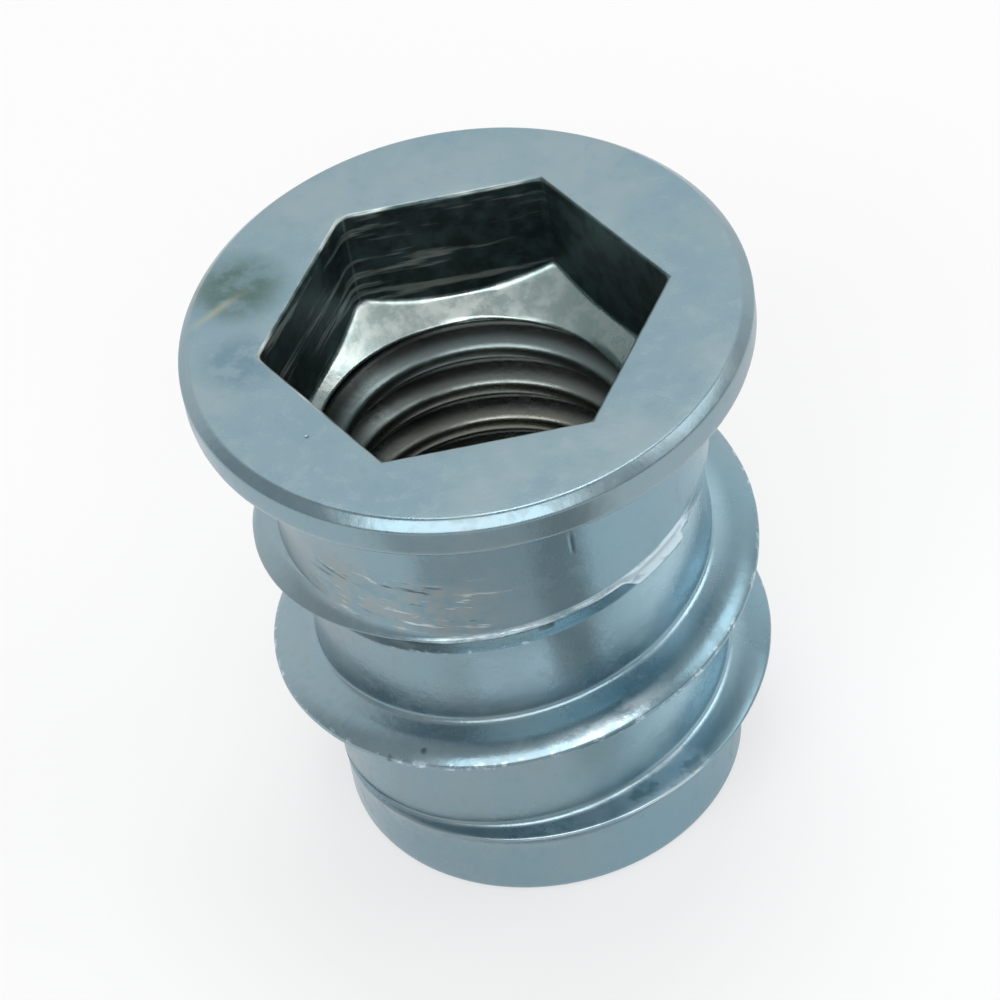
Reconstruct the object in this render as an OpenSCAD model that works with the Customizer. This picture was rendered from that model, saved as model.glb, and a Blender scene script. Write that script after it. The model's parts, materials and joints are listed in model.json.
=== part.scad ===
// Flanged wood insert with a hexagon socket.
// One turned and cast piece: a flange, a neck, a coarse right-hand wood thread outside,
// a pilot to start it in the hole, and a machine-threaded bore under the key socket.
// Millimetres. The insert stands on its pilot end, with its axis on Z and its front at -Y.

/* [Overall] */
// Length from the pilot end to the top of the flange
insert_l = 18; // [16:0.5:30]

/* [Flange] */
// Diameter over the rim
flange_d = 16.5; // [16:0.1:20]
// Thickness at the rim
flange_t = 1.3; // [1.1:0.1:2.4]
// Rounding of the rim's top edge
rim_top_r = 0.3; // [0.1:0.05:0.5]
// Rounding of the rim's lower edge
rim_under_r = 0.35; // [0.2:0.05:0.5]

/* [Neck] */
// Diameter of the plain neck under the flange
neck_d = 12.8; // [12.6:0.1:13.6]
// Fillet between the neck and the underside of the flange
neck_fillet_r = 1.0; // [0.3:0.1:1.0]
// Depth below the top face at which the neck widens into the thread
neck_l = 6.5; // [6:0.1:7]
// Height of the cone between the neck and the full thread
neck_cone_l = 0.9; // [0.4:0.1:1.6]

/* [Wood thread] */
// Diameter over the crests
thread_d = 14.8; // [14:0.1:15.6]
// Diameter at the root of the groove
root_d = 12.1; // [12.1:0.1:12.4]
// Rise of the thread in one turn
thread_pitch = 4.6; // [4.4:0.1:5.4]
// Width of the crest
crest_w = 0.35; // [0.3:0.05:0.8]
// Drop of the nearly flat upper flank from the root to the crest
upper_flank_h = 0.35; // [0.1:0.05:0.5]
// Rise of the nearly flat lower flank from its fillet to the crest
lower_flank_h = 0.05; // [0.05:0.05:0.5]
// Width of the fillet between the root and the lower flank
root_fillet_w = 0.45; // [0.3:0.05:0.9]
// Height of the same fillet
root_fillet_h = 1.05; // [0.4:0.05:1.6]
// Depth below the top face of the thread's upper flank, at the front
thread_start = 5.5; // [5.3:0.1:7]
// Angle behind the front at which the groove has run out into the neck
groove_end_a = 160; // [120:5:200]
// Angle over which the groove runs out
groove_fade_a = 100; // [60:5:140]

/* [Pilot] */
// Diameter of the pilot
pilot_d = 12; // [11:0.1:12]
// Length of the pilot
pilot_l = 2.2; // [1.5:0.1:3.2]
// Rounding of the pilot's lower edge
pilot_edge_r = 0.3; // [0.1:0.05:0.5]
// Height of the lead-in cone between the pilot and the full thread
lead_in_l = 1.8; // [1:0.1:2.4]

/* [Key socket] */
// Width across the flats of the socket, for a 10 mm key
socket_af = 10.2; // [9.6:0.1:10.2]
// Depth of the socket at its corners
socket_depth = 3.3; // [2.5:0.1:4]
// Slope of the conical floor, in degrees from level
socket_slope = 34; // [20:1:45]

/* [Machine thread] */
// Core diameter of the M10 thread
bore_d = 8.5; // [6.8:0.1:8.8]
// Width of the chamfer at the lower mouth of the bore
bore_chamfer = 0.5; // [0.2:0.05:0.6]

/* [Hidden] */

// Fragments in a full circle, and in the circles that round an edge
circle_fn = 96;
edge_fn = 24;
// Angle between two sections of the groove
step_a = 6;
// How far cutters run past the surfaces that they cut
overcut = 0.2;
// Clear height left above the neck by the shallow end of the groove
skim = 0.02;
// Steps along the fillet in the groove
fillet_steps = 4;
// Azimuth of the front
front_a = 270;

flange_r = flange_d / 2;
neck_r = neck_d / 2;
crest_r = thread_d / 2;
root_r = root_d / 2;
pilot_r = pilot_d / 2;
bore_r = bore_d / 2;
thread_h = crest_r - root_r;

flange_z = insert_l - flange_t;
neck_z = insert_l - neck_l;
thread_z = insert_l - thread_start;

socket_r = socket_af / sqrt(3);
socket_z = insert_l - socket_depth;
socket_floor_z = socket_z - (socket_r - bore_r) * tan(socket_slope);

// Radius at which the groove's cutter ends, outside the crests
cut_r = crest_r + overcut;
// Height from the upper flank's root to the outer end of the lower flank's fillet
groove_h = thread_pitch - upper_flank_h - crest_w - lower_flank_h;
// The groove ends once its whole section is below the pilot's shoulder
groove_drop = thread_z + groove_h + lower_flank_h + upper_flank_h - pilot_l;
bottom_a = -ceil((360 * groove_drop / thread_pitch + 30) / step_a) * step_a;
// The shallow end of the groove runs on until the neck's cone is behind it
cone_a = 360 * (neck_z - thread_z) / thread_pitch;
top_a = ceil((max(cone_a, -groove_end_a) + 30) / step_a) * step_a;

// Height of the upper flank's root, a degrees round from the front
function helix_z(a) = thread_z + thread_pitch * a / 360;

// Share of the groove's depth that has run out at this angle
function faded(a) =
    let (share = min(1, max(0, (a + groove_end_a + groove_fade_a) / groove_fade_a)))
    share * share * (3 - 2 * share);

// Radius of the groove's floor
function floor_r(a) = root_r + faded(a) * (neck_r + skim - root_r);

// Height of the upper flank at a radius, above its root
function upper_flank(r) = -upper_flank_h * (r - root_r) / thread_h;

// Section of the groove as radius and height: the upper flank of the ridge below,
// the open side, the lower flank of the ridge above, and its fillet into the floor
function groove_section(a) =
    let (
        r = floor_r(a),
        fillet_w = min(root_fillet_w, crest_r - r)
    )
    concat(
        [
            [r, upper_flank(r)],
            [cut_r, upper_flank(cut_r)],
            [cut_r, groove_h + lower_flank_h]
        ],
        [
            for (i = [fillet_steps:-1:0])
                let (turn = 90 * i / fillet_steps)
                [
                    r + fillet_w * (1 - cos(turn)),
                    groove_h - root_fillet_h * (1 - sin(turn))
                ]
        ]
    );

// A section's point, placed at its angle
function on_helix(p, a) =
    [p[0] * cos(front_a + a), p[0] * sin(front_a + a), helix_z(a) + p[1]];

// Groove between the ridges of the wood thread, swept along its helix
module groove() {
    angles = [bottom_a:step_a:top_a];
    points = [for (a = angles) for (p = groove_section(a)) on_helix(p, a)];
    ring = len(groove_section(0));
    last = len(points) / ring - 1;
    sides = [
        for (i = [0:last - 1])
            for (j = [0:ring - 1])
                let (
                    k = (j + 1) % ring,
                    low = i * ring,
                    high = low + ring
                )
                each [[low + j, high + k, high + j], [low + j, low + k, high + k]]
    ];
    first_cap = [for (j = [ring - 1:-1:0]) j];
    last_cap = [for (j = [0:ring - 1]) last * ring + j];
    polyhedron(points = points, faces = concat([first_cap], sides, [last_cap]), convexity = 10);
}

// Half section of the flange: a disc with a rounded rim and a filleted underside
module flange_profile() {
    translate([0, flange_z]) square([flange_r - rim_under_r, flange_t]);
    translate([0, flange_z + rim_under_r]) square([flange_r, flange_t - rim_under_r - rim_top_r]);
    translate([0, insert_l - rim_top_r - overcut]) square([flange_r - rim_top_r, rim_top_r + overcut]);
    translate([flange_r - rim_under_r, flange_z + rim_under_r]) circle(rim_under_r, $fn = edge_fn);
    translate([flange_r - rim_top_r, insert_l - rim_top_r]) circle(rim_top_r, $fn = edge_fn);
    difference() {
        translate([0, flange_z - neck_fillet_r]) square([neck_r + neck_fillet_r, neck_fillet_r]);
        translate([neck_r + neck_fillet_r, flange_z - neck_fillet_r]) circle(neck_fillet_r, $fn = edge_fn);
    }
}

// Half section of the shank before the groove is cut: pilot, lead-in cone, crests, neck
module shank_profile() {
    polygon([
        [0, 0],
        [pilot_r - pilot_edge_r, 0],
        [pilot_r - pilot_edge_r, pilot_edge_r],
        [pilot_r, pilot_edge_r],
        [pilot_r, pilot_l],
        [crest_r, pilot_l + lead_in_l],
        [crest_r, neck_z - neck_cone_l],
        [neck_r, neck_z],
        [neck_r, flange_z + overcut],
        [0, flange_z + overcut]
    ]);
    translate([pilot_r - pilot_edge_r, pilot_edge_r]) circle(pilot_edge_r, $fn = edge_fn);
}

module blank() {
    rotate_extrude($fn = circle_fn) {
        flange_profile();
        shank_profile();
    }
}

// Hexagon with a conical floor that runs down into the bore
module key_socket() {
    rise = 1;
    mouth_r = socket_r + rise;
    intersection() {
        translate([0, 0, socket_floor_z]) cylinder(h = insert_l, r = socket_r, $fn = 6);
        rotate_extrude($fn = circle_fn) polygon([
            [0, socket_floor_z],
            [bore_r, socket_floor_z],
            [mouth_r, socket_z + rise * tan(socket_slope)],
            [mouth_r, insert_l + rise],
            [0, insert_l + rise]
        ]);
    }
}

// Core of the machine thread, with a chamfer at its lower mouth
module bore() {
    translate([0, 0, -overcut])
        cylinder(h = socket_floor_z + 2 * overcut, r = bore_r, $fn = circle_fn);
    translate([0, 0, -overcut]) cylinder(
        h = bore_chamfer + overcut,
        r1 = bore_r + bore_chamfer + overcut,
        r2 = bore_r,
        $fn = circle_fn
    );
}

module insert() {
    color("lightsteelblue") difference() {
        blank();
        groove();
        key_socket();
        bore();
    }
}

insert();
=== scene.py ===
import json
from math import atan2, cos, pi, radians, sin, sqrt, tan

import bmesh
import bpy
from mathutils import Matrix, Vector, noise


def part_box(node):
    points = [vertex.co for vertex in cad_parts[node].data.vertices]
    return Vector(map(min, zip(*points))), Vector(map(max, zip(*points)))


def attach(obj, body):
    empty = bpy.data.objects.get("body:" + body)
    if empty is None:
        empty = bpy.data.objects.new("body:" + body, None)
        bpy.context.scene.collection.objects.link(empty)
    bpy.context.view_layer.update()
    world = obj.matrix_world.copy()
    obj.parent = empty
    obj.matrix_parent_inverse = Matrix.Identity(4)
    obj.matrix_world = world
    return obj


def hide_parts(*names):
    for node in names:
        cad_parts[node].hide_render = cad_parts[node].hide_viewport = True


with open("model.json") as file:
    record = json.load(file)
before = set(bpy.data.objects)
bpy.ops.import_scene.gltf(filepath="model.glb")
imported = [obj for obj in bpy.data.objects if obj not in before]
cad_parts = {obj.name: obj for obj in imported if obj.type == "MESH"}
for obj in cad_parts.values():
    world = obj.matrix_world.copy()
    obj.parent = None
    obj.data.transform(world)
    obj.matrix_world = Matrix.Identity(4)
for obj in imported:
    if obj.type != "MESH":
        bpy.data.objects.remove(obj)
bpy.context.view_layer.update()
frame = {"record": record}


# ---------------------------------------------------------------------------
# The insert. One zinc-alloy casting, threaded outside for wood and tapped M10
# inside, then plated. It is lofted as one closed skin: a grid whose columns
# stand round the axis and whose rows follow the helices of the two threads.
# ---------------------------------------------------------------------------

# Its sizes are in millimetres, and its angles in degrees round from the front
MM = 0.001
low_corner, high_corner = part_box("insert")
insert_l = high_corner.z / MM
# The rim stays this far inside the CAD box, where the casting's unevenness has room
rim_clearance = 0.006
flange_r = -low_corner.x / MM - rim_clearance
bore_mount = next(m for m in frame["record"]["mounts"] if m["name"] == "machine_thread")
bore_r = bore_mount["dims"]["r_mm"]

# Flange, with a blunt chamfer round its top edge
flange_t = 1.3
rim_chamfer = 0.3
rim_edge_r = 0.07
rim_under_r = 0.35
neck_fillet_r = 1.0

# Neck, pilot, and the cones between them and the full thread
neck_r = 6.4
neck_l = 6.5
neck_cone_l = 0.9
neck_bend = 0.35
pilot_r = 6.0
pilot_l = 2.2
pilot_edge_r = 0.3
pilot_bend = 0.15
lead_in_l = 1.8
lead_in_bend = 0.2

# Wood thread
thread_start = 5.5
thread_pitch = 4.6
crest_r = 7.4
root_r = 6.05
crest_w = 0.35
upper_flank_h = 0.35
lower_flank_h = 0.05
# Straight steep face under a ridge, and the rounding at its foot
steep_w = 0.4
steep_h = 1.0
steep_edge_r = 0.1
steep_foot_w = 0.04
steep_foot_h = 0.1
# Width over which the shelf on a ridge rolls over into the crest
crest_bevel = 0.42
# Rounding that casting and plating leave on a crest and in a root
edge_r = 0.09
root_edge_r = 0.19
# Height over a crest's lower edge in which its rows stand closer together
close_rows_h = 0.4
# Where the groove has run out into the neck, over what angle, and how far proud of it
groove_end_a = 160
groove_fade_a = 100
skim = 0.02

# Burr raised where the thread cuts into the neck, and the broad facet it was rolled into
burr_start, burr_end, burr_fade = -45, 75, 20
burr_h = 0.11
burr_w = 0.14
burr_rise = 0.08
facet_start, facet_end, facet_fade = 27, 54, 6
facet_h = 0.2
facet_drop = 0.4
facet_above = 0.28
facet_below = 0.12

# Hexagon socket
socket_apothem = 5.1
socket_depth = 3.3
socket_slope = tan(radians(34))
corner_r = 0.28
# The broach has worn the corner at the back, on the left, rounder than the others
worn_corner_r = 0.62
worn_corner_start, worn_corner_end = 180, 240
mouth_r = 0.12
foot_max_r = 0.15

# M10 x 1.5 thread
tap_pitch = 1.5
tap_root_r = 5.0
tap_crest_w = 0.42
tap_flank_h = 0.41
tap_edge_r = 0.13
# Height of the lower edge of one crest, at the back of the bore
tap_start = 10.74
tap_turns = 12
# The lowest turn grows from nothing between these heights
tap_fade_start, tap_fade_end = 0.3, 1.1
bore_chamfer = 0.5
bore_bend = 0.05

flange_z = insert_l - flange_t
neck_z = insert_l - neck_l
neck_top_z = flange_z - neck_fillet_r
thread_z = insert_l - thread_start
thread_h = crest_r - root_r
groove_h = thread_pitch - upper_flank_h - crest_w - lower_flank_h
steep_z = groove_h - steep_h
socket_corner_r = socket_apothem / cos(pi / 6)
cone_z = insert_l - socket_depth - (socket_corner_r - bore_r) * socket_slope
tap_top_z = cone_z + (tap_root_r - bore_r) * socket_slope


def mix(start, end, share):
    return start + (end - start) * share


def limited(share):
    return min(1, max(0, share))


def step(share):
    """Runs softly from 0 to 1 as the share does."""
    share = limited(share)
    return share * share * (3 - 2 * share)


def arc(around, start, end, fade):
    """1 between two angles, fading to 0 over this many degrees inside each of them."""
    return step((around - start) / fade) * step((end - around) / fade)


def bend(x, width):
    """Rises from nought at nought with slope 1, through a soft bend of this half width."""
    if x < -width:
        return 0
    return x if x > width else (x + width) ** 2 / (4 * width)


def curve(start, corner, end, steps):
    """Points of a rounded corner from start to end, both included."""
    points = []
    for i in range(steps + 1):
        t = i / steps
        points.append(tuple(
            (1 - t) ** 2 * s + 2 * t * (1 - t) * c + t ** 2 * e
            for s, c, e in zip(start, corner, end)
        ))
    return points


def rounding(most, *faces):
    """Size of a rounded edge, which takes up at most this share of the faces beside it."""
    share = 0.3
    return min([most] + [share * face for face in faces])


def blank_r(z):
    """Outside of the shank before the groove: pilot, lead-in cone, crests, cone and neck."""
    lead_in = (crest_r - pilot_r) / lead_in_l
    shoulder = (crest_r - neck_r) / neck_cone_l
    return (
        pilot_r
        + lead_in * (bend(z - pilot_l, pilot_bend) - bend(z - pilot_l - lead_in_l, lead_in_bend))
        - shoulder * (bend(z - neck_z + neck_cone_l, neck_bend) - bend(z - neck_z, neck_bend))
    )


def groove_r(a):
    """Radius of the groove's floor, which runs out into the neck behind the front."""
    run_out = step((a + groove_end_a + groove_fade_a) / groove_fade_a)
    return mix(root_r, neck_r + skim, run_out)


def helix_z(a):
    return thread_z + thread_pitch * a / 360


def upper_flank_z(a, r):
    """Top of the ridge under this groove: a nearly level shelf that rolls over into the crest."""
    rolled = max(0, (r - crest_r + crest_bevel) / crest_bevel)
    return helix_z(a) - upper_flank_h * (r - root_r) / thread_h - 0.5 * crest_bevel * rolled ** 2


def lower_flank_z(a, r):
    """Underside of the ridge over this groove: level at the crest, then steep down to the floor."""
    out = r - groove_r(a)
    if out < steep_w:
        return helix_z(a) + steep_z + steep_h * out / steep_w
    return helix_z(a) + groove_h + lower_flank_h * (out - steep_w) / (thread_h - steep_w)


def meeting_r(flank_z, floor_r):
    """Radius at which a flank comes out through the blank's surface."""
    inner, outer = floor_r, crest_r
    halvings = 22
    for _ in range(halvings):
        middle = (inner + outer) / 2
        if blank_r(flank_z(middle)) > middle:
            inner = middle
        else:
            outer = middle
    return inner


def ridge(a):
    """One ridge of the wood thread, from the floor over it to the floor under it."""
    upper_floor, lower_floor = groove_r(a), groove_r(a - 360)

    def upper(r):
        return r, upper_flank_z(a, r)

    def lower(r):
        return r, lower_flank_z(a - 360, r)

    upper_r = meeting_r(lambda r: upper(r)[1], upper_floor)
    lower_r = meeting_r(lambda r: lower(r)[1], lower_floor)
    upper_z, lower_z = upper(upper_r)[1], lower(lower_r)[1]
    crest = upper_z - lower_z
    soft_upper = rounding(edge_r, upper_r - upper_floor, crest)
    soft_lower = rounding(edge_r, lower_r - lower_floor, crest)

    # Floor of the groove above, and its corner with the upper flank
    soft_root = rounding(root_edge_r, upper_r - upper_floor)
    floor_top = helix_z(a) + steep_z - steep_foot_h
    root = (upper_floor, upper(upper_floor)[1])
    above_root = (upper_floor, root[1] + soft_root)
    shelf_start, shelf_end = upper_floor + soft_root, upper_r - soft_upper
    points = [(upper_floor, mix(floor_top, above_root[1], i / 3)) for i in (0, 1, 2)]
    points += curve(above_root, root, upper(shelf_start), 4)
    points += [upper(mix(shelf_start, shelf_end, i / 3)) for i in (1, 2)]

    # Crest, with a rounded edge on each side
    crest_top, crest_bottom = upper_z - soft_upper, lower_z + soft_lower
    points += curve(upper(shelf_end), (upper_r, upper_z), (blank_r(crest_top), crest_top), 3)
    near_edge = min(close_rows_h, 0.5 * (crest_top - crest_bottom))
    crest_rows = [mix(crest_top, crest_bottom + near_edge, i / 2) for i in (1, 2)]
    crest_rows += [crest_bottom + near_edge * (1 - i / 5) for i in (1, 2, 3, 4)]
    points += [(blank_r(z), z) for z in crest_rows]
    flank_end = lower_r - soft_lower
    points += curve((blank_r(crest_bottom), crest_bottom), (lower_r, lower_z), lower(flank_end), 4)

    # Lower flank, and the steep face under it down to the floor of the groove below
    steep_end = min(flank_end, lower_floor + steep_w)
    soft = rounding(steep_edge_r, steep_end - lower_floor)
    corner_start = min(flank_end, steep_end + soft)
    points.append(lower(mix(flank_end, corner_start, 0.5)))
    points += curve(lower(corner_start), lower(steep_end), lower(steep_end - 0.4 * soft), 3)
    points += [lower(mix(steep_end, lower_floor, i / 4)) for i in (1, 2, 3)]
    foot = (lower_floor, helix_z(a - 360) + steep_z)
    foot_w = min(steep_foot_w, 0.25 * (steep_end - lower_floor))
    points += curve(lower(lower_floor + foot_w), foot, (foot[0], foot[1] - steep_foot_h), 3)
    return points


def burr(a, z):
    """How far the thread's cut pushed up the edge that it left low on the neck, in front."""
    around = a if a < 180 else a - 360
    edge_z = helix_z(around - 360) + steep_z + steep_h * (neck_r - root_r) / steep_w
    in_front = arc(around, burr_start, burr_end, burr_fade)
    rolled = arc(around, facet_start, facet_end, facet_fade)
    above = z - edge_z - burr_rise + facet_drop * rolled
    reach = burr_w + (facet_above if above > 0 else facet_below) * rolled
    return (burr_h + facet_h * rolled) * in_front * max(0, 1 - abs(above) / reach)


def shank(a):
    """Outside of the shank from the neck down to the pilot, at this azimuth."""
    # Above the groove's first turn there is only the neck, and under the last only the pilot
    under_shoulder = 0.3
    top, bottom = helix_z(0) + steep_z - steep_foot_h, pilot_l - under_shoulder
    sliver = 0.03
    points = [(neck_r, neck_top_z)]
    for turn in (0, -1, -2, -3):
        for r, z in ridge(a + 360 * turn):
            # A row that would leave a sliver at either end joins that end
            z = top if z > top - sliver else bottom if z < bottom + sliver else z
            points.append((min(r, blank_r(z)) + burr(a, z), z))
    points += [(pilot_r, mix(bottom, pilot_edge_r, i / 4)) for i in (0, 1, 2, 3)]
    return points


def bore_wall_r(z):
    """The bore before it is tapped: lower chamfer, core and the socket's conical floor."""
    return bore_r + bend(bore_chamfer - z, bore_bend) + bend(z - cone_z, bore_bend) / socket_slope


def tapped_bore(a):
    """The M10 thread from the lower mouth up to the socket's floor."""
    depth = tap_root_r - bore_r
    slope = depth / tap_flank_h
    soft, soft_crest, soft_root = tap_edge_r, 0.7 * tap_edge_r, 0.6 * tap_edge_r
    root_start = tap_crest_w + tap_flank_h
    root_end = tap_pitch - tap_flank_h
    # Depth of the cut and height, over one crest and the root above it
    section = (
        curve((slope * soft_crest, -soft_crest), (0, 0), (0, soft), 3)
        + curve(
            (0, tap_crest_w - soft), (0, tap_crest_w),
            (slope * soft_crest, tap_crest_w + soft_crest), 3,
        )
        + curve(
            (depth - slope * soft_root, root_start - soft_root), (depth, root_start),
            (depth, root_start + soft), 2,
        )
        + curve(
            (depth, root_end - soft), (depth, root_end),
            (depth - slope * soft_root, root_end + soft_root), 2,
        )
    )
    turn = (a - 180) / 360
    lowest = -int(tap_start / tap_pitch) - 2
    points = []
    for k in range(lowest, lowest + tap_turns):
        for cut, rise in section:
            z = tap_start + tap_pitch * (turn + k) + rise
            z = min(tap_top_z, max(0, z))
            grown = limited((z - tap_fade_start) / (tap_fade_end - tap_fade_start))
            points.append((max(bore_wall_r(z), bore_r + cut * grown), z))
    return points


def socket_r(a):
    """Radius of the hexagon's wall, with rounded corners."""
    off_corner = abs((a % 60) - 30)
    off_flat = radians(30 - off_corner)
    soft = worn_corner_r if worn_corner_start < a < worn_corner_end else corner_r
    centre = (socket_apothem - soft) / cos(pi / 6)
    if radians(off_corner) < atan2(soft / 2, centre + soft * cos(pi / 6)):
        side = centre * sin(radians(off_corner))
        return centre * cos(radians(off_corner)) + sqrt(soft ** 2 - side ** 2)
    return socket_apothem / cos(off_flat)


def skin(a):
    """The whole section at this azimuth, from the socket's mouth round the outside to it again."""
    wall_r = socket_r(a)
    top = insert_l

    # Top face and rim
    face_r, chamfer_z = flange_r - rim_chamfer, top - rim_chamfer
    flat, slant = rim_edge_r, 0.7 * rim_edge_r
    section = [(mix(wall_r + mouth_r, face_r, i / 6), top) for i in range(6)]
    section += curve((face_r - flat, top), (face_r, top), (face_r + slant, top - slant), 4)
    section += curve(
        (flange_r - slant, chamfer_z + slant), (flange_r, chamfer_z),
        (flange_r, chamfer_z - flat), 4,
    )
    section += curve(
        (flange_r, flange_z + rim_under_r), (flange_r, flange_z),
        (flange_r - rim_under_r, flange_z), 6,
    )
    fillet = curve((neck_r + neck_fillet_r, flange_z), (neck_r, flange_z), (neck_r, neck_top_z), 8)
    section += fillet[:-1]
    section += shank(a)

    # Pilot's end and the tapped bore
    section += curve((pilot_r, pilot_edge_r), (pilot_r, 0), (pilot_r - pilot_edge_r, 0), 5)
    section += tapped_bore(a)

    # Socket: conical floor, wall and mouth
    foot_z = cone_z + (wall_r - bore_r) * socket_slope
    foot_r = min(foot_max_r, 0.6 * (wall_r - tap_root_r))
    floor_r, floor_z = wall_r - foot_r, foot_z - foot_r * socket_slope
    section += [
        (mix(tap_root_r, floor_r, i / 4), mix(tap_top_z, floor_z, i / 4)) for i in (1, 2, 3)
    ]
    section += curve((floor_r, floor_z), (wall_r, foot_z), (wall_r, foot_z + foot_r), 4)
    section += [(wall_r, mix(foot_z + foot_r, top - mouth_r, i / 6)) for i in range(1, 6)]
    section += curve((wall_r, top - mouth_r), (wall_r, top), (wall_r + mouth_r, top), 4)
    return section


def column_angles():
    """Azimuths from the front, in degrees, closer together at the socket's corners."""
    per_side = 38
    bunched = 0.72
    angles = []
    for i in range(6 * per_side + 1):
        share = i / per_side
        angles.append(60 * (share + bunched * sin(2 * pi * share) / (2 * pi)))
    return angles


def unevenness(place):
    """How far the casting's surface lies from the ideal one, in millimetres."""
    wave_h, wave_per_mm = 0.018, 0.45
    ripple_h, ripple_per_mm = 0.006, 1.9
    wave = noise.noise(Vector(place) * wave_per_mm)
    ripple = noise.noise(Vector(place) * ripple_per_mm + Vector((7, 3, 5)))
    # Only the outside is uneven, fading out inwards, at the pilot's end and at the rim's top
    x, y, z = place
    inner_r, top_z = 5.6, insert_l - 0.6
    r = sqrt(x * x + y * y)
    outside = limited((r - inner_r) * 4) * limited(z) * limited((top_z - z) * 3)
    return (wave_h * wave + ripple_h * ripple) * outside


def placed(name, shape):
    """An object at the origin that holds this finished shape."""
    mesh = bpy.data.meshes.new(name)
    shape.to_mesh(mesh)
    shape.free()
    piece = bpy.data.objects.new(name, mesh)
    bpy.context.scene.collection.objects.link(piece)
    return piece


angles = column_angles()
sections = [skin(a) for a in angles]
columns, rows = len(sections), len(sections[0])
shell = bmesh.new()
# The grid's own x and y count its columns and rows, and each point then takes its place
bmesh.ops.create_grid(
    shell, x_segments=columns - 1, y_segments=rows - 1, size=0.5,
    matrix=Matrix.Diagonal((columns - 1, rows - 1, 1, 1)),
)
for point in shell.verts:
    column = round(point.co.x + (columns - 1) / 2)
    row = round(point.co.y + (rows - 1) / 2)
    r, z = sections[column][row]
    azimuth = radians(270 + angles[column] % 360)
    r += unevenness((r * cos(azimuth), r * sin(azimuth), z))
    point.co = Vector((r * cos(azimuth), r * sin(azimuth), z)) * MM
# The seam, the snapped rows and the turns past both ends of the bore close up
touching = 2e-8
bmesh.ops.remove_doubles(shell, verts=shell.verts, dist=touching)
bmesh.ops.dissolve_degenerate(shell, edges=shell.edges, dist=touching)
bmesh.ops.recalc_face_normals(shell, faces=shell.faces)
insert = placed("threaded_insert", shell)
for face in insert.data.polygons:
    face.use_smooth = True


class Value:
    """A shader socket that plain sums and products can use."""

    def __init__(self, nodes, socket):
        self.nodes = nodes
        self.socket = socket

    def maths(self, operation, left, right=0.0):
        return self.nodes.add("ShaderNodeMath", {"operation": operation}, {0: left, 1: right})

    def __add__(self, other):
        return self.maths("ADD", self, other)

    def __mul__(self, other):
        return self.maths("MULTIPLY", self, other)

    def __sub__(self, other):
        return self.maths("SUBTRACT", self, other)

    def __rsub__(self, other):
        return self.maths("SUBTRACT", other, self)

    def __pow__(self, other):
        return self.maths("POWER", self, other)

    __radd__ = __add__
    __rmul__ = __mul__

    def absolute(self):
        return self.maths("ABSOLUTE", self)

    def larger(self, other):
        return self.maths("MAXIMUM", self, other)

    def clipped(self):
        return self.maths("MINIMUM", self.larger(0.0), 1.0)

    def rise(self, low, high):
        """Runs softly from 0 at low to 1 at high, or down if high is the lower."""
        return self.nodes.add(
            "ShaderNodeMapRange", {"interpolation_type": "SMOOTHSTEP"},
            {"Value": self, "From Min": low, "From Max": high},
        )

    def between(self, low, high, soft):
        return self.rise(low - soft, low + soft) * self.rise(high + soft, high - soft)


class Nodes:
    """The shader tree of one material."""

    def __init__(self, owner):
        owner.use_nodes = True
        self.tree = owner.node_tree
        self.tree.nodes.clear()

    def add(self, kind, settings=None, inputs=None, output=0):
        node = self.tree.nodes.new(kind)
        for name, setting in (settings or {}).items():
            setattr(node, name, setting)
        for name, given in (inputs or {}).items():
            if isinstance(given, Value):
                self.tree.links.new(given.socket, node.inputs[name])
            else:
                node.inputs[name].default_value = given
        return Value(self, node.outputs[output]) if node.outputs else node

    def tint(self, share, below, above):
        """Colour that goes from one to the other as the share goes from 0 to 1."""
        return self.add(
            "ShaderNodeMix", {"data_type": "RGBA"}, {"Factor": share, "A": below, "B": above},
            output="Result",
        )

    def noise(self, place, per_mm, detail, roughness):
        return self.add("ShaderNodeTexNoise", {}, {
            "Vector": place, "Scale": per_mm, "Detail": detail, "Roughness": roughness,
        })

    def scaled(self, place, by):
        """A place with each of its coordinates multiplied."""
        return self.add("ShaderNodeVectorMath", {"operation": "MULTIPLY"}, {0: place, 1: by})


zinc = bpy.data.materials.new("zinc_plate")
nodes = Nodes(zinc)
# The patterns are laid out in millimetres: straight on the axes, and rolled out round the axis
in_metres = nodes.add("ShaderNodeTexCoord", output="Object")
place = nodes.scaled(in_metres, (1 / MM, 1 / MM, 1 / MM))
x, y, z = (nodes.add("ShaderNodeSeparateXYZ", {}, {0: place}, output=axis) for axis in "XYZ")
radius = (x * x + y * y) ** 0.5
# Degrees round from the front, from -180 to 180, with the right-hand side positive
around = x.maths("ARCTAN2", x, 0.0 - y) * (180 / pi)
mm_per_degree = 0.11
rolled_out = nodes.add(
    "ShaderNodeCombineXYZ", {}, {"X": around * mm_per_degree, "Y": z, "Z": radius}
)
# Height over a line that climbs with the wood thread through the front
climb = z - around * (thread_pitch / 360)


def stretched(along, across):
    """The rolled-out surface, drawn out so that a pattern runs round the insert."""
    return nodes.scaled(rolled_out, (along, across, 1.0))


def spot(centre, size):
    """1 at a point on the insert, fading to 0 at this many millimetres from it."""
    away = nodes.add(
        "ShaderNodeVectorMath", {"operation": "DISTANCE"}, {0: place, 1: centre}, output="Value"
    )
    return away.rise(size, 0.3 * size)


def on_wall(azimuth_from_front, height, r):
    """A point on the outside, so many degrees round from the front."""
    turned = radians(azimuth_from_front)
    return r * sin(turned), -r * cos(turned), height


slow = nodes.noise(place, 0.26, 3.0, 0.55)
mottle = nodes.noise(place, 1.6, 4.0, 0.6)
grain = nodes.noise(place, 5.0, 3.0, 0.6)
dust = nodes.noise(place, 11.0, 2.0, 0.7)

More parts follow.
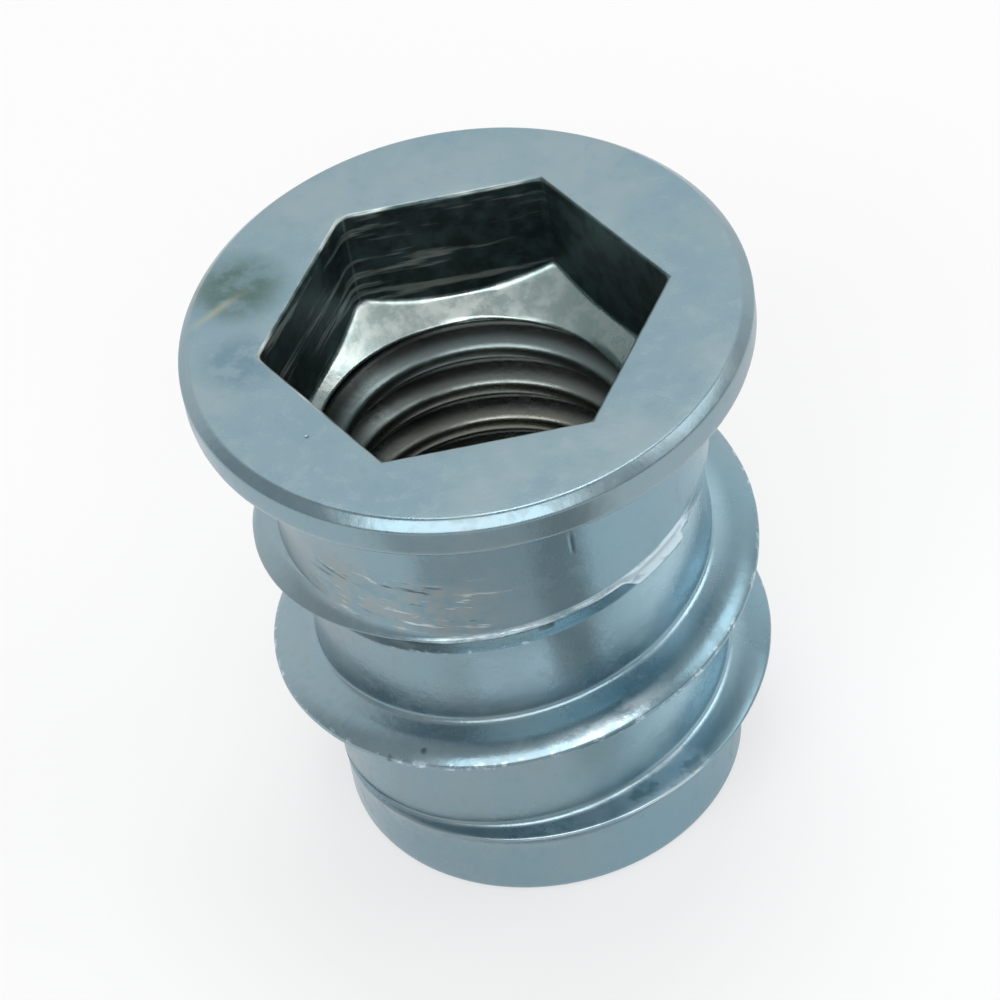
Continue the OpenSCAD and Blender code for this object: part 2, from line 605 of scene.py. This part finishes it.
# Distance from the axis, measured square to the nearest flat of the socket
slanted = y * sin(pi / 6)
off_axis = y.absolute()
for leaning in (x * cos(pi / 6) + slanted, x * cos(pi / 6) - slanted):
    off_axis = off_axis.larger(leaning.absolute())
over_cone = z - radius * socket_slope - (cone_z - bore_r * socket_slope)
in_hexagon = off_axis.rise(socket_apothem + 0.13, socket_apothem + 0.05)
socket_part = in_hexagon * over_cone.rise(-0.22, -0.08)
tapped_part = radius.rise(5.12, 5.04) * z.rise(0.05, 0.35)
inside = (socket_part + tapped_part).clipped()

# Plating: a blue cast that comes and goes, with duller grey clouds and a fine mottle
blue_zinc = (0.235, 0.345, 0.40, 1)
grey_zinc = (0.275, 0.362, 0.398, 1)
dull_cloud = (0.30, 0.37, 0.38, 1)
dark_mottle = (0.18, 0.29, 0.345, 1)
colour = nodes.tint(slow.rise(0.34, 0.66), blue_zinc, grey_zinc)
colour = nodes.tint(mottle.rise(0.50, 0.75) * 0.35, colour, dull_cloud)
colour = nodes.tint(mottle.rise(0.46, 0.28) * 0.3, colour, dark_mottle)

# The cast is bluest under the flange on the right
strong_blue = (0.225, 0.37, 0.44, 1)
bluest = x.rise(-1.5, 3.0) * y.rise(5.0, 0.0) * z.rise(flange_z, flange_z - 0.8)
colour = nodes.tint(bluest * 0.75, colour, strong_blue)

# Painted light: paler in the groove, on the right and in front
painted_light_blue = (0.38, 0.56, 0.65, 1)
in_groove = radius.rise(6.7, 6.2) * z.rise(2.6, 3.2) * z.rise(12.2, 11.6)
light_lift_right = x.rise(2.2, 4.4) * y.rise(3.0, -1.0) * 0.9
light_lift_front = around.between(-16, 10, 6) * z.between(8.4, 10.6, 0.5) * 0.6
colour = nodes.tint(in_groove * (light_lift_right + light_lift_front), colour, painted_light_blue)

# Stains on the top face, at its left, and a yellow streak across them
green_stain = (0.105, 0.17, 0.16, 1)
blue_stain = (0.10, 0.20, 0.26, 1)
yellow_streak = (0.44, 0.44, 0.30, 1)
blotch = mottle.rise(0.3, 0.6)
stain = spot((-6.2, 3.0, insert_l), 1.9) * (0.45 + 0.55 * blotch)
colour = nodes.tint(stain, colour, green_stain)
colour = nodes.tint(spot((-6.4, -0.1, insert_l), 1.6) * blotch * 0.6, colour, blue_stain)
streak = (y - 0.68 * x - 6.9).between(-0.12, 0.12, 0.16) * spot((-6.6, 1.6, insert_l), 1.5)
colour = nodes.tint(streak * 0.6, colour, yellow_streak)

# Rubbed and scratched zone low on the neck, in front and to the left
rubbed_grey = (0.33, 0.375, 0.37, 1)
dark_scratch = (0.07, 0.10, 0.11, 1)
bright_scratch = (0.68, 0.74, 0.74, 1)
on_neck = radius.between(6.2, 7.0, 0.1)
rubbed = around.between(-58, -6, 8) * z.between(11.6, 13.7, 0.5) * on_neck
colour = nodes.tint(rubbed * mottle.rise(0.42, 0.62) * 0.75, colour, rubbed_grey)
scratches = nodes.noise(stretched(0.55, 5.5), 1.0, 3.0, 0.65).rise(0.37, 0.31) * rubbed
colour = nodes.tint(scratches * 0.8, colour, dark_scratch)
bright_ticks = nodes.noise(stretched(0.8, 6.5), 1.0, 3.0, 0.6).rise(0.60, 0.70) * rubbed
colour = nodes.tint(bright_ticks * 0.8, colour, bright_scratch)

# Socket: its walls are darkened with painted shade, the broach's streaks on them are painted as
# bright highlights, and the cone is silvery, with painted shade towards the right
wall_shade = (0.055, 0.085, 0.085, 1)
paler_wall_shade = (0.10, 0.155, 0.165, 1)
painted_streak_highlight = (0.55, 0.62, 0.60, 1)
grey_cone = (0.42, 0.52, 0.50, 1)
silver_cone = (0.66, 0.74, 0.71, 1)
painted_teal_shade = (0.22, 0.33, 0.34, 1)
at_wall = off_axis.rise(socket_apothem - 0.12, socket_apothem - 0.04)
wall_part = socket_part * over_cone.rise(0.03, 0.12) * at_wall
drawn = nodes.noise(nodes.scaled(place, (0.3, 0.3, 3.0)), 1.0, 3.0, 0.6).rise(0.53, 0.68)
wall_tone = nodes.tint(mottle.rise(0.35, 0.65), wall_shade, paler_wall_shade)
# Painted highlight: bright broach streaks on the left and back walls
wall_tone = nodes.tint(drawn * x.rise(3.6, 1.6), wall_tone, painted_streak_highlight)
cone_tone = nodes.tint(mottle.rise(0.38, 0.62), grey_cone, silver_cone)
# Painted shade: the cone turns darker teal towards the right
cone_tone = nodes.tint(x.rise(-1.0, 4.5) * 0.65, cone_tone, painted_teal_shade)

# Bore: bare crests, warmer further down, over roots darkened with painted shade
warm_grey = (0.28, 0.27, 0.235, 1)
cool_grey = (0.22, 0.28, 0.28, 1)
root_shade = (0.045, 0.052, 0.05, 1)
crest_tone = nodes.tint(z.rise(8.0, 13.5), warm_grey, cool_grey)
bore_tone = nodes.tint(radius.rise(4.75, 4.3), root_shade, crest_tone)
colour = nodes.tint(tapped_part, colour, bore_tone)
colour = nodes.tint(socket_part, colour, cone_tone)
colour = nodes.tint(wall_part, colour, wall_tone)

# Specks, and painted shade in the pits
dark_speck = (0.06, 0.09, 0.10, 1)
pit_shade = (0.025, 0.035, 0.04, 1)
specks = dust.rise(0.74, 0.79) * (1 - inside)
colour = nodes.tint(specks * 0.8, colour, dark_speck)
pits = spot((-4.9, -3.6, insert_l), 0.1) * 0.6
for turned, height, r in (
    (-58, 11.4, 6.85), (-30, 7.3, 7.1), (-38, 6.8, 7.3),
    (33, 2.7, 6.4), (6.5, 11.5, 6.3), (5.5, 11.45, 6.3),
):
    pits = pits + spot(on_wall(turned, height, r), 0.18)
# A notch under the burr, and a short upright dent in the neck, both darkened with painted shade
pits = pits + climb.between(11.25, 11.58, 0.06) * around.between(4.0, 8.0, 0.8)
dent = (around - 16).between(-0.5, 0.5, 0.5) * z.between(14.1, 14.8, 0.2)
pits = pits + dent * radius.between(6.1, 6.7, 0.1) * 0.6
pits = pits.clipped()
colour = nodes.tint(pits * 0.85, colour, pit_shade)

# Bright worn metal, patchy on the crests, and painted highlights in front: streaky along the burr
# and its facet, on one crest under them and on the last shelf
bare_metal_and_highlight = (0.60, 0.75, 0.82, 1)
crest = radius.rise(crest_r - 0.13, crest_r - 0.03)
crest = crest * z.rise(2.5, 3.2) * z.rise(flange_z - 0.6, flange_z - 1.2)
worn_crest = crest * nodes.noise(place, 2.6, 3.0, 0.7).rise(0.52, 0.66) * 0.75
burr_line = climb.between(11.62, 11.84, 0.05) * around.between(-24, 54, 6)
burr_patch = climb.between(11.36, 11.8, 0.06) * around.between(29, 50, 3) * 1.3
crest_patch = climb.between(7.42, 7.85, 0.1) * around.between(4, 28, 7) * radius.rise(6.8, 7.1)
last_shelf = around.between(17, 40, 4) * 1.2 + around.between(-14, 17, 4) * 0.45
wedge = climb.between(2.8, 3.3, 0.1) * last_shelf
streaky = 0.25 + 0.75 * nodes.noise(stretched(1.2, 4.0), 1.0, 3.0, 0.65).rise(0.36, 0.56)
painted_highlight_streaks = (burr_line + burr_patch + crest_patch + wedge) * radius.rise(5.9, 6.0) * streaky
colour = nodes.tint((worn_crest + painted_highlight_streaks).clipped(), colour, bare_metal_and_highlight)

# Under the burr, in front and to the left, the face is greyer, with painted glints along its foot
greyer_face = (0.34, 0.37, 0.35, 1)
painted_glint = (0.74, 0.80, 0.80, 1)
under_burr = radius.between(5.9, 6.7, 0.1) * around.between(-40, 5, 6)
colour = nodes.tint(climb.between(10.95, 11.5, 0.08) * under_burr * 0.6, colour, greyer_face)
glint_pattern = nodes.noise(rolled_out, 3.2, 2.0, 0.6).rise(0.55, 0.62)
painted_glints = climb.between(10.74, 10.92, 0.05) * under_burr * glint_pattern
colour = nodes.tint(painted_glints * 0.9, colour, painted_glint)

rough = 0.23 + 0.10 * slow.rise(0.35, 0.65) + 0.10 * mottle.rise(0.5, 0.7)
rough = rough + 0.12 * rubbed + 0.1 * wall_part
relief = grain * 0.5 + mottle * 0.8 - scratches * 1.2 - pits * 2.0 + bright_ticks * 0.8
bump = nodes.add("ShaderNodeBump", {}, {"Height": relief, "Distance": 0.02 * MM, "Strength": 0.5})
metal = nodes.add("ShaderNodeBsdfPrincipled", {}, {
    "Base Color": colour, "Metallic": 1.0, "Roughness": rough, "Normal": bump,
})
nodes.add("ShaderNodeOutputMaterial", {}, {"Surface": metal})
insert.data.materials.append(zinc)
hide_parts("insert")
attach(insert, "root")


# ---------------------------------------------------------------------------
# The floor. A plain white sheet that the insert stands on. Seen straight or in
# the metal it is white, and it still takes the insert's shadow.
# ---------------------------------------------------------------------------

half_width = 0.6
sheet = bmesh.new()
bmesh.ops.create_grid(sheet, x_segments=1, y_segments=1, size=half_width)
floor = placed("floor", sheet)
white = bpy.data.materials.new("white_sheet")
nodes = Nodes(white)
sheet_paint = nodes.add("ShaderNodeBsdfDiffuse", {}, {"Color": (0.9, 0.9, 0.9, 1)})
plain_white = nodes.add("ShaderNodeEmission", {}, {"Color": (1, 1, 1, 1), "Strength": 1.0})
seen, mirrored, through = (
    nodes.add("ShaderNodeLightPath", output=ray)
    for ray in ("Is Camera Ray", "Is Glossy Ray", "Is Transmission Ray")
)
plain_share = 0.55
surface = nodes.add("ShaderNodeMixShader", {}, {
    0: (seen + mirrored + through).clipped() * plain_share, 1: sheet_paint, 2: plain_white,
})
nodes.add("ShaderNodeOutputMaterial", {}, {"Surface": surface})
floor.data.materials.append(white)


# ---------------------------------------------------------------------------
# The light. A room that is palest at the back, three soft boxes, and two dark
# cards on the floor, which show only as reflections in the metal.
# ---------------------------------------------------------------------------

world = bpy.data.worlds.new("pale_room")
nodes = Nodes(world)
direction = nodes.add("ShaderNodeTexCoord", output="Generated")
back = nodes.add("ShaderNodeSeparateXYZ", {}, {0: direction}, output="Y")
room_glow, more_at_back = 0.5, 0.55
glow = room_glow + more_at_back * back.rise(0.25, 0.62)
# Seen straight, the room is plain white all round
seen = nodes.add("ShaderNodeLightPath", output="Is Camera Ray")
glow = glow + seen * (1.0 - glow)
nodes.add("ShaderNodeOutputWorld", {}, {
    "Surface": nodes.add("ShaderNodeBackground", {}, {"Color": (1, 1, 1, 1), "Strength": glow}),
})
bpy.context.scene.world = world


def soft_box(name, azimuth, elevation, width, height, strength):
    """A lamp at this azimuth from +X, so many times as bright as white."""
    turned, raised = radians(azimuth), radians(elevation)
    away = Vector((cos(raised) * cos(turned), cos(raised) * sin(turned), sin(raised)))
    lamp = bpy.data.lights.new(name, "AREA")
    lamp.shape = "RECTANGLE"
    lamp.size, lamp.size_y = width, height
    lamp.energy = strength * pi * width * height
    holder = bpy.data.objects.new(name, lamp)
    distance, middle = 0.25, Vector((0, 0, 0.01))
    holder.location = away * distance + middle
    holder.rotation_euler = away.to_track_quat("Z", "Y").to_euler()
    bpy.context.scene.collection.objects.link(holder)


soft_box("front_box", 256, 44, 0.30, 0.12, 2.4)
soft_box("back_box", 74, 74, 0.10, 0.08, 4.5)
soft_box("right_box", 354, 40, 0.14, 0.12, 1.8)


def dark_card(name, start, end, near, far, shade):
    """A card just over the floor, between two azimuths from +X and two distances in millimetres."""
    lift = 0.2
    card = bmesh.new()
    card.faces.new([
        card.verts.new(Vector((r * cos(radians(t)), r * sin(radians(t)), lift)) * MM)
        for r, t in ((near, start), (far, start), (far, end), (near, end))
    ])
    piece = placed(name, card)
    paint = bpy.data.materials.new(name)
    nodes = Nodes(paint)
    nodes.add("ShaderNodeOutputMaterial", {}, {
        "Surface": nodes.add("ShaderNodeBsdfDiffuse", {}, {"Color": (shade, shade, shade, 1)}),
    })
    piece.data.materials.append(paint)
    piece.visible_camera = piece.visible_diffuse = piece.visible_shadow = False


dark_card("grey_card", 228, 280, 16.5, 60, 0.58)
dark_card("black_card", 280, 302, 11.5, 60, 0.36)


# ---------------------------------------------------------------------------
# The camera. A long lens that looks down on the front of the insert, rolled a
# little, so that the insert leans in the view.
# ---------------------------------------------------------------------------

elevation = radians(44.891)
azimuth = radians(270.14)
roll = radians(-11.132)
distance = 158.9 * MM
# How far the middle of the view lies to the right of and above the top face's centre
aim_right = 1.039 * MM
aim_up = -5.180 * MM
to_camera = Vector((cos(elevation) * cos(azimuth), cos(elevation) * sin(azimuth), sin(elevation)))
level = Vector((-sin(azimuth), cos(azimuth), 0))
upright = to_camera.cross(level)
right = level * cos(roll) + upright * sin(roll)
up = upright * cos(roll) - level * sin(roll)
aim = Vector((0, 0, insert_l * MM)) + right * aim_right + up * aim_up
lens = bpy.data.cameras.new("camera")
lens.sensor_width = 36
lens.lens = 202.5
lens.clip_start = 0.01
camera = bpy.data.objects.new("camera", lens)
turned = Matrix((right, up, to_camera)).transposed().to_4x4()
camera.matrix_world = Matrix.Translation(aim + to_camera * distance) @ turned
bpy.context.scene.collection.objects.link(camera)
bpy.context.scene.camera = camera

bpy.context.scene.view_settings.view_transform = "Standard"
